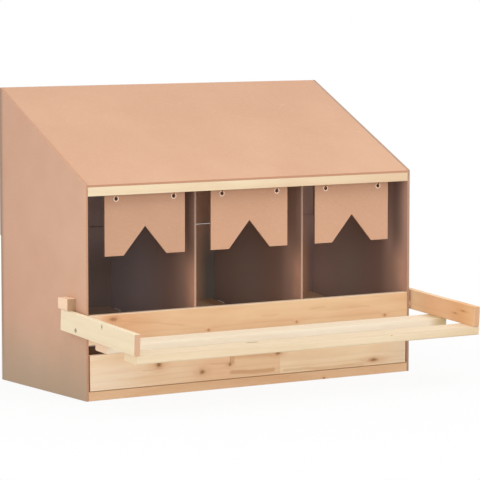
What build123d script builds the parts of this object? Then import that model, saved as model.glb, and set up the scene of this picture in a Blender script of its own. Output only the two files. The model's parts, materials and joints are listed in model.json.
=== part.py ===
from build123d import *
from math import atan2, cos, radians, sqrt, tan
import os

os.makedirs("parts", exist_ok=True)

# Driving dimensions, in millimetres and degrees.
# The origin is the centre of the body's underside, with +Y to the rear and +Z up.

# Body shell
body_width = 700.0
body_depth = 318.0
rear_height = 541.0
front_height = 381.5
side_thickness = 5.0
roof_thickness = 4.0
divider_thickness = 4.0
rear_thickness = 3.0
bottom_thickness = 16.5
front_stock = 15.0
top_rail_height = 15.9
nest_front_height = 52.5
finger_slot = 18.0
rear_seam_height = 268.7
rear_lap = 6.0
vent_slot = 1.0
batten_width = 18.0
batten_height = 12.0

# Nest floors and their ledgers
floor_thickness = 4.0
floor_slope = 7.0
egg_gap = 48.0
floor_side_gap = 4.0
ledger_width = 12.0
ledger_height = 14.0
divider_lap = 7.0
tab_length = 20.0
tab_setback = 15.0

# Swinging flaps, their eyelets and hooks
flap_thickness = 3.0
flap_height = 112.5
flap_side_gap = 30.7
flap_foot = 38.7
left_flap_shift = 14.4
middle_flap_shift = 4.0
notch_height = 51.0
eyelet_inset = 23.5
eyelet_bore = 6.4
eyelet_barrel = 8.6
eyelet_flange = 11.0
flange_thickness = 0.5
hook_wire = 2.0
hook_sides = 6
hook_radius = 5.0
hook_corner = 4.0
hook_drop = 8.8
hook_shank_rise = 8.0
hook_bite = 10.0

# Fold-up perch
arm_thickness = 12.0
arm_height = 37.0
arm_gap = 5.0
perch_reach = 202.5
perch_tail = 54.5
perch_droop = 3.8
pivot_rise = 28.0
perch_rail_width = 42.0
perch_rail_thickness = 15.8
perch_rail_setback = 6.0
rear_rail_offset = 61.0
stop_block_length = 34.0
stop_block_height = 21.5
pivot_diameter = 5.0
pivot_head = 7.5
pivot_head_height = 3.4
pivot_head_bevel = 1.0
pivot_bite = 35.0
pivot_point = 5.0
pivot_tip = 1.2
spacer_diameter = 15.0

# Egg drawer
drawer_front_height = 63.5
drawer_side_height = 46.0
drawer_side_thickness = 10.0
drawer_base_thickness = 4.0
drawer_groove_depth = 5.0
drawer_groove_rise = 6.0

# Clearances
drawer_run_gap = 0.5
drawer_side_gap = 2.5
drawer_rear_gap = 6.0
drawer_head_room = 10.0
fit_gap = 0.2
hang_gap = 0.3
hook_clearance = 1.0
tab_clearance = 1.0
fold_clearance = 1.0
stop_gap = 0.3
pivot_play = 0.08
spacer_play = 0.2
head_sink = 0.4
wire_fit = 0.05

# How far a cutting shape runs past the face that it opens
overcut = 1.0

# Rounded edges of the planed pine
board_round = 1.5
rail_round = 3.0

# Places that follow from the sizes above
front = -body_depth / 2
rear = body_depth / 2
half_width = body_width / 2
inner_half = half_width - side_thickness
board_back = front + front_stock
rear_inner = rear - rear_thickness
rear_lower_top = rear_seam_height + rear_lap
bay_width = (2 * inner_half - 2 * divider_thickness) / 3
bay_pitch = bay_width + divider_thickness
bay_centres = {"left": -bay_pitch, "middle": 0.0, "right": bay_pitch}
flap_shifts = {"left": left_flap_shift, "middle": middle_flap_shift, "right": 0.0}
flap_centres = {place: centre + flap_shifts[place] for place, centre in bay_centres.items()}

roof_slope = atan2(rear_height - front_height, body_depth)
roof_drop = roof_thickness / cos(roof_slope)

drawer_bottom = bottom_thickness + drawer_run_gap
nest_front_bottom = drawer_bottom + drawer_front_height + finger_slot
nest_front_top = nest_front_bottom + nest_front_height
top_rail_bottom = front_height - roof_drop - top_rail_height

floor_front = board_back + egg_gap
floor_drop = floor_thickness / cos(radians(floor_slope))
ledger_bottom = drawer_bottom + drawer_side_height + drawer_head_room
divider_bottom = ledger_bottom + divider_lap
tab_rear = rear_inner - tab_setback

hook_flat = hook_wire / 2 * cos(radians(180 / hook_sides))
hook_inner = hook_radius - hook_flat
hang_radius = hook_inner - hang_gap
hang_y = board_back + hook_radius + hook_wire / 2 + hook_clearance
shank_z = top_rail_bottom + hook_shank_rise
hang_z = shank_z - hook_drop
eyelet_z = hang_z - hang_radius - eyelet_bore / 2
flap_top = hang_z + sqrt(hang_radius**2 - (flap_thickness / 2) ** 2)
flap_bottom = flap_top - flap_height
flap_width = bay_width - 2 * flap_side_gap
eyelet_spacing = flap_width - 2 * eyelet_inset

pivot_y = front + front_stock / 2
pivot_z = nest_front_bottom + pivot_rise
pivot_edge = front_stock / 2 + fold_clearance
arm_above_pivot = arm_height - pivot_edge
arm_inner = half_width + arm_gap
arm_outer = arm_inner + arm_thickness
stop_block_front = pivot_y + arm_above_pivot + fold_clearance
stop_block_rear = stop_block_front + stop_block_length

drawer_half = inner_half - drawer_side_gap
drawer_inner = drawer_half - drawer_side_thickness
drawer_rear = rear_inner - drawer_rear_gap
drawer_back_front = drawer_rear - drawer_side_thickness
groove_low = drawer_bottom + drawer_groove_rise
groove_high = groove_low + drawer_base_thickness + 2 * fit_gap


def roof_top(y):
    """Height of the roof's upper face at a depth."""
    return front_height + (y - front) * tan(roof_slope)


def roof_under(y):
    """Height of the roof's lower face at a depth."""
    return roof_top(y) - roof_drop


def floor_under(y):
    """Height of the nest floor's lower face at a depth."""
    return ledger_bottom + ledger_height + (y - floor_front) * tan(radians(floor_slope))


def floor_top(y):
    """Height of the nest floor's upper face at a depth."""
    return floor_under(y) + floor_drop


def stop_under(y):
    """Height of a stop block's lower face, just above the drooping arm, at a depth."""
    arm_top = pivot_z + arm_above_pivot / cos(radians(perch_droop))
    return arm_top + (y - pivot_y) * tan(radians(perch_droop)) + stop_gap


def board(x_range, y_range, z_range):
    """A square-edged board between three pairs of limits."""
    ranges = (x_range, y_range, z_range)
    size = [high - low for low, high in ranges]
    centre = [(high + low) / 2 for low, high in ranges]
    return Pos(*centre) * Box(*size)


def profile_along_x(outline, x_range):
    """A closed outline of (y, z) points drawn out along X."""
    corners = [(x_range[0], y, z) for y, z in outline]
    face = make_face(Polyline(*corners, close=True))
    return extrude(face, amount=x_range[1] - x_range[0], dir=(1, 0, 0))


def rod_along_x(diameter, x_range, y, z):
    """A round bar along X."""
    length = x_range[1] - x_range[0]
    return Pos((x_range[0] + x_range[1]) / 2, y, z) * Rot(0, 90, 0) * Cylinder(diameter / 2, length)


def round_long_edges(piece, radius):
    """Planed pine: the edges along X are rounded."""
    return fillet(piece.edges().filter_by(Axis.X), radius)


def eyelet_places(centre):
    """The X of the two eyelets, and of their hooks, on a flap with this centre."""
    return [centre - eyelet_spacing / 2, centre + eyelet_spacing / 2]


def side_range(side, inner, outer):
    """The X limits of a piece on the left (-1) or right (+1)."""
    return tuple(sorted((side * inner, side * outer)))


# Shell


def make_side_panel(side):
    outline = [(front, 0), (rear, 0), (rear, rear_height), (front, front_height)]
    panel = profile_along_x(outline, side_range(side, inner_half, half_width))
    hole_range = side_range(side, inner_half - overcut, half_width + overcut)
    return panel - rod_along_x(pivot_diameter + 2 * wire_fit, hole_range, pivot_y, pivot_z)


def make_roof_panel():
    outline = [
        (front, roof_under(front)),
        (rear, roof_under(rear)),
        (rear, roof_top(rear)),
        (front, roof_top(front)),
    ]
    return profile_along_x(outline, (-inner_half, inner_half))


def make_bottom_board():
    return board((-inner_half, inner_half), (front, rear), (0, bottom_thickness))


def make_top_front_rail():
    outline = [
        (front, top_rail_bottom),
        (board_back, top_rail_bottom),
        (board_back, roof_under(board_back)),
        (front, roof_under(front)),
    ]
    rail = profile_along_x(outline, (-inner_half, inner_half))
    for centre in flap_centres.values():
        for x in eyelet_places(centre):
            bore = Rot(90, 0, 0) * Cylinder(hook_wire / 2 + wire_fit, 2 * (hook_bite + fit_gap))
            rail -= Pos(x, board_back, shank_z) * bore
    return rail


def make_nest_front_board():
    plank = board((-inner_half, inner_half), (front, board_back), (nest_front_bottom, nest_front_top))
    plank = round_long_edges(plank, board_round)
    for side in (-1, 1):
        bore_range = side_range(side, inner_half - pivot_bite - fit_gap, inner_half + overcut)
        plank -= rod_along_x(pivot_diameter + 2 * wire_fit, bore_range, pivot_y, pivot_z)
    return plank


def make_rear_top_batten():
    low = roof_under(rear - batten_width) - batten_height
    outline = [
        (rear - batten_width, low),
        (rear, low),
        (rear, roof_under(rear)),
        (rear - batten_width, roof_under(rear - batten_width)),
    ]
    return profile_along_x(outline, (-inner_half, inner_half))


def make_rear_upper_panel():
    return board((-half_width, half_width), (rear, rear + rear_thickness), (rear_seam_height, rear_height))


def make_rear_lower_panel():
    """The lower rear wall laps behind the upper one, but for a vent slot in the middle nest."""
    z_range = (bottom_thickness, rear_lower_top)
    panel = board((-inner_half, inner_half), (rear_inner, rear), z_range)
    slot = board(
        (-bay_width / 2, bay_width / 2),
        (rear_inner - overcut, rear + overcut),
        (rear_seam_height - vent_slot, rear_lower_top + overcut),
    )
    return panel - slot


# Dividers, ledgers and floors


def ledger_outline(low_y, gap):
    """Section of a ledger with its top planed to the slope of the floors, grown by a gap."""
    high_y = low_y + ledger_width
    low = floor_under(low_y) - ledger_height - gap
    return [
        (low_y - gap, low),
        (high_y + gap, low),
        (high_y + gap, floor_under(high_y) + gap),
        (low_y - gap, floor_under(low_y) + gap),
    ]


ledger_places = {"floor_front_ledger": floor_front, "floor_rear_ledger": rear_inner - ledger_width}


def tab_outline(gap):
    """Section of the tab that locks a floor into a divider, grown by a gap."""
    low_y = tab_rear - tab_length - gap
    high_y = tab_rear + gap
    return [
        (low_y, floor_under(low_y) - gap),
        (high_y, floor_under(high_y) - gap),
        (high_y, floor_top(high_y) + gap),
        (low_y, floor_top(low_y) + gap),
    ]


def make_divider(side):
    x_range = side_range(side, bay_width / 2, bay_width / 2 + divider_thickness)
    outline = [
        (board_back, divider_bottom),
        (rear, divider_bottom),
        (rear, roof_under(rear)),
        (board_back, roof_under(board_back)),
    ]
    wall = profile_along_x(outline, x_range)
    batten_front = rear - batten_width - fit_gap
    batten_low = roof_under(rear - batten_width) - batten_height - fit_gap
    wall -= board(x_range, (batten_front, rear + overcut), (batten_low, rear_height))
    wall -= board(x_range, (rear_inner, rear + overcut), (divider_bottom - overcut, rear_lower_top))
    for low_y in ledger_places.values():
        wall -= profile_along_x(ledger_outline(low_y, fit_gap), x_range)
    return wall - profile_along_x(tab_outline(fit_gap), x_range)


def make_ledger(low_y):
    return profile_along_x(ledger_outline(low_y, 0), (-inner_half, inner_half))


def make_nest_floor(place):
    centre = bay_centres[place]
    half = bay_width / 2 - floor_side_gap
    high_y = rear_inner - fit_gap
    outline = [
        (floor_front, floor_under(floor_front)),
        (high_y, floor_under(high_y)),
        (high_y, floor_top(high_y)),
        (floor_front, floor_top(floor_front)),
    ]
    sheet = profile_along_x(outline, (centre - half, centre + half))
    if place == "left":
        return sheet
    tab_end = centre - half - 2 * floor_side_gap - divider_thickness + tab_clearance
    return sheet + profile_along_x(tab_outline(0), (tab_end, centre - half))


# Swinging flaps


def make_flap(centre):
    """A hanging sheet with an inverted V cut from its lower edge and two eyelet holes."""
    half = flap_width / 2
    notch_half = half - flap_foot
    outline = [
        (centre - half, flap_bottom),
        (centre - notch_half, flap_bottom),
        (centre, flap_bottom + notch_height),
        (centre + notch_half, flap_bottom),
        (centre + half, flap_bottom),
        (centre + half, flap_top),
        (centre - half, flap_top),
    ]
    corners = [(x, hang_y - flap_thickness / 2, z) for x, z in outline]
    sheet = extrude(make_face(Polyline(*corners, close=True)), amount=flap_thickness, dir=(0, 1, 0))
    for x in eyelet_places(centre):
        hole = Rot(90, 0, 0) * Cylinder(eyelet_barrel / 2 + wire_fit, 2 * flap_thickness)
        sheet -= Pos(x, hang_y, eyelet_z) * hole
    return sheet


def make_eyelet(x):
    """A rolled eyelet whose mouth widens to follow the bend of the hook."""
    face = flap_thickness / 2
    lip = face + flange_thickness
    throat = eyelet_bore / 2
    mouth = throat + hang_radius - sqrt(hang_radius**2 - lip**2)
    barrel = eyelet_barrel / 2
    flange = eyelet_flange / 2
    outline = [
        (throat, 0),
        (mouth, lip),
        (flange, face),
        (barrel, face),
        (barrel, -face),
        (flange, -face),
        (mouth, -lip),
    ]
    corners = [(radius, y, 0) for radius, y in outline]
    ring = revolve(make_face(Polyline(*corners, close=True)), axis=Axis.Y)
    return Pos(x, hang_y, eyelet_z) * ring


def make_hook(x):
    """A screw hook: a shank in the rail, a turn down and a half circle under the pivot line."""
    back_y = hang_y + hook_radius
    start = (x, board_back - hook_bite, shank_z)
    turn = (x, back_y, shank_z)
    below = (x, back_y, hang_z)
    shank = FilletPolyline(start, turn, below, radius=hook_corner)
    bend = ThreePointArc(below, (x, hang_y, hang_z - hook_radius), (x, hang_y - hook_radius, hang_z))
    path = Wire([*shank.edges(), bend])
    wire = RegularPolygon(hook_wire / 2, hook_sides, rotation=180 / hook_sides)
    section = Plane(origin=start, z_dir=(0, 1, 0)) * wire
    return sweep(section, path=path)


# Fold-up perch, drawn level about its pivot and then lowered to its droop


def at_perch(piece):
    return Pos(0, pivot_y, pivot_z) * Rot(perch_droop, 0, 0) * piece


def make_perch_arm(side):
    x_range = side_range(side, arm_inner, arm_outer)
    arm = at_perch(board(x_range, (-perch_reach, perch_tail), (-pivot_edge, arm_above_pivot)))
    bore_range = side_range(side, arm_inner - overcut, arm_outer + overcut)
    arm -= rod_along_x(pivot_diameter + 2 * pivot_play, bore_range, pivot_y, pivot_z)
    sink_range = side_range(side, arm_outer - pivot_head_height - head_sink, arm_outer + overcut)
    return arm - rod_along_x(pivot_head + 2 * head_sink, sink_range, pivot_y, pivot_z)


def make_perch_rail(rear_edge):
    """A rail under both arms, flush at the right and set back at the left."""
    top = -pivot_edge
    rail = board(
        (perch_rail_setback - arm_outer, arm_outer),
        (-rear_edge - perch_rail_width, -rear_edge),
        (top - perch_rail_thickness, top),
    )
    return at_perch(round_long_edges(rail, rail_round))


def make_stop_block(side):
    """A block on the wall whose underside is planed to the slope of the arm below."""
    top = stop_under(stop_block_front) + stop_block_height
    outline = [
        (stop_block_front, stop_under(stop_block_front)),
        (stop_block_rear, stop_under(stop_block_rear)),
        (stop_block_rear, top),
        (stop_block_front, top),
    ]
    return profile_along_x(outline, side_range(side, half_width, arm_outer))


def make_pivot_screw(side):
    """A screw through the arm and the side wall into the end of the front board."""
    head_outer = arm_outer - head_sink / 2
    head_inner = head_outer - pivot_head_height
    tip = inner_half - pivot_bite
    shank = rod_along_x(pivot_diameter, side_range(side, tip + pivot_point, head_inner), pivot_y, pivot_z)
    head = rod_along_x(pivot_head, side_range(side, head_inner, head_outer), pivot_y, pivot_z)
    crown = head.edges().filter_by(GeomType.CIRCLE).sort_by(Axis.X)[-1 if side > 0 else 0]
    head = chamfer(crown, pivot_head_bevel)
    cone = Pos(side * (tip + pivot_point / 2), pivot_y, pivot_z) * Rot(0, 90 * side, 0)
    return shank + head + cone * Cone(pivot_tip / 2, pivot_diameter / 2, pivot_point)


def make_pivot_spacer(side):
    ring_range = side_range(side, half_width, arm_inner - spacer_play)
    bore_range = side_range(side, half_width - overcut, arm_inner + overcut)
    ring = rod_along_x(spacer_diameter, ring_range, pivot_y, pivot_z)
    return ring - rod_along_x(pivot_diameter + 2 * wire_fit, bore_range, pivot_y, pivot_z)


# Egg drawer


def make_drawer_front_board():
    z_range = (drawer_bottom, drawer_bottom + drawer_front_height)
    plank = board((-drawer_half, drawer_half), (front, board_back), z_range)
    plank = fillet(plank.faces().sort_by(Axis.Y)[0].edges(), board_round)
    groove = board(
        (-drawer_inner - drawer_groove_depth, drawer_inner + drawer_groove_depth),
        (board_back - drawer_groove_depth, board_back + overcut),
        (groove_low, groove_high),
    )
    return plank - groove


def make_drawer_side(side):
    z_range = (drawer_bottom, drawer_bottom + drawer_side_height)
    plank = board(side_range(side, drawer_inner, drawer_half), (board_back, drawer_rear), z_range)
    groove = board(
        side_range(side, drawer_inner - overcut, drawer_inner + drawer_groove_depth),
        (board_back - overcut, drawer_back_front + drawer_groove_depth),
        (groove_low, groove_high),
    )
    return plank - groove


def make_drawer_back():
    z_range = (drawer_bottom, drawer_bottom + drawer_side_height)
    plank = board((-drawer_inner, drawer_inner), (drawer_back_front, drawer_rear), z_range)
    groove = board(
        (-drawer_inner - overcut, drawer_inner + overcut),
        (drawer_back_front - overcut, drawer_back_front + drawer_groove_depth),
        (groove_low, groove_high),
    )
    return plank - groove


def make_drawer_base():
    reach = drawer_groove_depth - fit_gap
    return board(
        (-drawer_inner - reach, drawer_inner + reach),
        (board_back - reach, drawer_back_front + reach),
        (groove_low + fit_gap, groove_high - fit_gap),
    )


sides = {"left": -1, "right": 1}
nodes = {
    "roof_panel": make_roof_panel(),
    "bottom_board": make_bottom_board(),
    "top_front_rail": make_top_front_rail(),
    "nest_front_board": make_nest_front_board(),
    "rear_top_batten": make_rear_top_batten(),
    "rear_upper_panel": make_rear_upper_panel(),
    "rear_lower_panel": make_rear_lower_panel(),
    "perch_front_rail": make_perch_rail(perch_reach - perch_rail_width),
    "perch_rear_rail": make_perch_rail(rear_rail_offset),
    "perch_pivot_screws": Compound(children=[make_pivot_screw(side) for side in sides.values()]),
    "perch_pivot_spacers": Compound(children=[make_pivot_spacer(side) for side in sides.values()]),
    "drawer_front_board": make_drawer_front_board(),
    "drawer_back": make_drawer_back(),
    "drawer_base": make_drawer_base(),
}
for name, side in sides.items():
    nodes[f"{name}_side_panel"] = make_side_panel(side)
    nodes[f"divider_{name}"] = make_divider(side)
    nodes[f"perch_arm_{name}"] = make_perch_arm(side)
    nodes[f"perch_stop_block_{name}"] = make_stop_block(side)
    nodes[f"drawer_side_{name}"] = make_drawer_side(side)
for name, low_y in ledger_places.items():
    nodes[name] = make_ledger(low_y)
hooks = []
for name, centre in flap_centres.items():
    nodes[f"nest_floor_{name}"] = make_nest_floor(name)
    nodes[f"flap_{name}"] = make_flap(centre)
    nodes[f"flap_eyelets_{name}"] = Compound(children=[make_eyelet(x) for x in eyelet_places(centre)])
    hooks.extend(make_hook(x) for x in eyelet_places(centre))
nodes["flap_hooks"] = Compound(children=hooks)

for name, piece in nodes.items():
    export_step(piece, f"parts/{name}.step")
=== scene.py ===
import json
import math

import bmesh
import bpy
from mathutils import Matrix, Vector


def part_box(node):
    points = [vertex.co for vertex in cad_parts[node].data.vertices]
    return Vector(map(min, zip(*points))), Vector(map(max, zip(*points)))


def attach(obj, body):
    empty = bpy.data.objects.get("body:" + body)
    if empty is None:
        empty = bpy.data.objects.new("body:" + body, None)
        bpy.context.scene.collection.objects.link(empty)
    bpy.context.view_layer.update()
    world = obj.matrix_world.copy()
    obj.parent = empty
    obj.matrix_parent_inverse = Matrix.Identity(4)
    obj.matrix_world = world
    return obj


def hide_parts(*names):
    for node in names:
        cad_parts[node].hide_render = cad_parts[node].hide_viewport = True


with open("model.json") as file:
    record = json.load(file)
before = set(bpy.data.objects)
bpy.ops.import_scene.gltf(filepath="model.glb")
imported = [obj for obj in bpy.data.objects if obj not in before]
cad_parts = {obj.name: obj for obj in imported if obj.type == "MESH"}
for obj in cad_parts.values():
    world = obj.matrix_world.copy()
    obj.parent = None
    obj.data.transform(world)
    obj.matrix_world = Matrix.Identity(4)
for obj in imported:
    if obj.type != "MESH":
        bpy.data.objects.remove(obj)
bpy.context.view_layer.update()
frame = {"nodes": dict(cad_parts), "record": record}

mm = 0.001
scene = bpy.context.scene
nodes = frame["nodes"]
record = frame["record"]
motion = record["behaviour"]
bodyOf = {node: body for body, members in motion["bodies"].items() for node in members}
jointAt = {row["name"]: Vector(row["pos_m"]) for row in motion["joints"] if "pos_m" in row}


# Small helpers

def tone(red, green, blue):
    # screen colour 0-255 to the linear colour that shaders want
    shares = [value / 255 for value in (red, green, blue)]
    linear = [s / 12.92 if s <= 0.04045 else ((s + 0.055) / 1.055) ** 2.4 for s in shares]
    return (*linear, 1.0)


def centreOf(nodeName):
    low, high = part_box(nodeName)
    return (low + high) / 2


class Graph:
    # thin wrapper that keeps node building to one line a node
    def __init__(self, tree):
        self.tree = tree

    def add(self, kind, inputs=None, **settings):
        node = self.tree.nodes.new(kind)
        for key, value in settings.items():
            setattr(node, key, value)
        for key, value in (inputs or {}).items():
            for each in value if isinstance(value, list) else [value]:
                if isinstance(each, bpy.types.NodeSocket):
                    self.tree.links.new(each, node.inputs[key])
                else:
                    node.inputs[key].default_value = each
        return node

    def calc(self, operation, first, second=0.0, third=0.0):
        inputs = {0: first, 1: second, 2: third}
        return self.add("ShaderNodeMath", inputs, operation=operation).outputs[0]

    def times(self, first, second):
        return self.calc("MULTIPLY", first, second)

    def plus(self, first, second):
        return self.calc("ADD", first, second)

    def minus(self, first, second):
        return self.calc("SUBTRACT", first, second)

    def ease(self, value, start, end, low=0.0, high=1.0):
        # smooth step from start to end
        inputs = {0: value, 1: start, 2: end, 3: low, 4: high}
        return self.add("ShaderNodeMapRange", inputs, interpolation_type="SMOOTHSTEP").outputs[0]

    def blend(self, factor, first, second):
        inputs = {0: factor, 6: first, 7: second}
        return self.add("ShaderNodeMix", inputs, data_type="RGBA").outputs[2]

    def stretch(self, vector, scale, shift=(0, 0, 0)):
        inputs = {"Vector": vector, "Scale": scale, "Location": shift}
        return self.add("ShaderNodeMapping", inputs).outputs[0]

    def noise(self, place, scales, shift=(0, 0, 0), detail=2.0, rough=0.5, output=0):
        vector = self.stretch(place, scales, shift)
        inputs = {"Vector": vector, "Scale": 1.0, "Detail": detail, "Roughness": rough}
        return self.add("ShaderNodeTexNoise", inputs).outputs[output]

    def dot(self, first, second):
        return self.add("ShaderNodeVectorMath", {0: first, 1: second}, operation="DOT_PRODUCT").outputs[1]

    def split(self, vector):
        return self.add("ShaderNodeSeparateXYZ", {0: vector}).outputs

    def join(self, x=0.0, y=0.0, z=0.0):
        return self.add("ShaderNodeCombineXYZ", {0: x, 1: y, 2: z}).outputs[0]

    def plug(self, socket, target):
        self.tree.links.new(socket, target)


def newMaterial(name, specular=0.3):
    material = bpy.data.materials.new(name)
    material.use_nodes = True
    tree = material.node_tree
    shader = next(node for node in tree.nodes if node.type == "BSDF_PRINCIPLED")
    shader.inputs["Specular IOR Level"].default_value = specular
    return material, Graph(tree), shader


def addBump(graph, shader, height, strength, depth):
    bump = graph.add("ShaderNodeBump", {"Strength": strength, "Distance": depth, "Height": height})
    graph.plug(bump.outputs[0], shader.inputs["Normal"])


def dress(piece, material):
    piece.data.materials.clear()
    piece.data.materials.append(material)


# Pine: one solid pattern of year rings for faces and end grain alike

axisNumber = {"X": 0, "Y": 1, "Z": 2}
pineGrain = {  # noise scales along the fibres, across the face and into the board; then single values
    "sway": (1.6, 9.0, 9.0), "ragged": (260, 260, 260), "patch": (3.2, 20, 20), "fibre": (30, 900, 900),
    "wave": (16, 3, 3), "pores": (600, 600, 600), "earlyWood": 0.35, "lateWood": 0.86,
    "streakTaper": 8 * mm, "streakWander": 9 * mm, "glueFade": 3 * mm,
}
pineMix = {  # masks as start, end and the shares between; single shares; the bump's strength and depth
    "ringPatch": (0.25, 0.75, 0.35, 1.0), "warmPatch": (0.38, 0.72), "upward": (0.6, 0.9, 0.0, 0.9),
    "roundedEdge": (0.08, 0.4), "fibreLines": (0.52, 0.78, 0.0, 0.2), "endFace": (0.75, 0.9),
    "endPores": (0.5, 0.8, 0.0, 0.3), "rough": (0.3, 0.8, 0.55, 0.75), "streakEdge": (1.3, 0.3),
    "patchShare": 0.6, "warmShare": 0.9, "endRings": 0.45, "ringRelief": 0.35, "bump": (0.35, 0.25 * mm),
}
knotShape = {  # each mask runs from its first number to its second, counted in the knot's own half sizes
    "fray": 0.9, "flameFray": 0.5, "heart": (1.05, 0.3), "rim": (2.1, 0.6), "flame": (1.5, 0.2),
    "swell": (4.5, 0.0), "swellHeight": 1.6, "heartShare": 0.9, "rimShare": 0.6, "flameShare": 0.62,
}


def knotMasks(graph, look, along, across, ragged):
    # each knot: a dark heart, a brown ring, a flame of warmer wood and year rings that swell round it
    found = None
    lengthwise, crosswise = look["flameShrink"]
    for knotAlong, knotAcross, halfLength, halfHeight in look["knots"]:
        sideways = graph.calc("DIVIDE", graph.minus(along, knotAlong), halfLength)
        upwards = graph.calc("DIVIDE", graph.minus(across, knotAcross), halfHeight)
        wide = graph.times(sideways, sideways)
        high = graph.times(upwards, upwards)
        fray = graph.times(graph.minus(ragged, 0.5), knotShape["fray"])
        reach = graph.plus(fray, graph.calc("SQRT", graph.plus(wide, high)))
        flame = graph.calc("MULTIPLY_ADD", wide, lengthwise, graph.times(high, crosswise))
        flame = graph.calc("SQRT", flame)
        flame = graph.calc("MULTIPLY_ADD", fray, knotShape["flameFray"], flame)
        masks = (graph.ease(reach, *knotShape["heart"]), graph.ease(reach, *knotShape["rim"]),
                 graph.ease(flame, *knotShape["flame"]),
                 graph.ease(reach, *knotShape["swell"], 0.0, halfHeight * knotShape["swellHeight"]))
        found = masks if found is None else [graph.calc("MAXIMUM", a, b) for a, b in zip(found, masks)]
    return found


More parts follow.
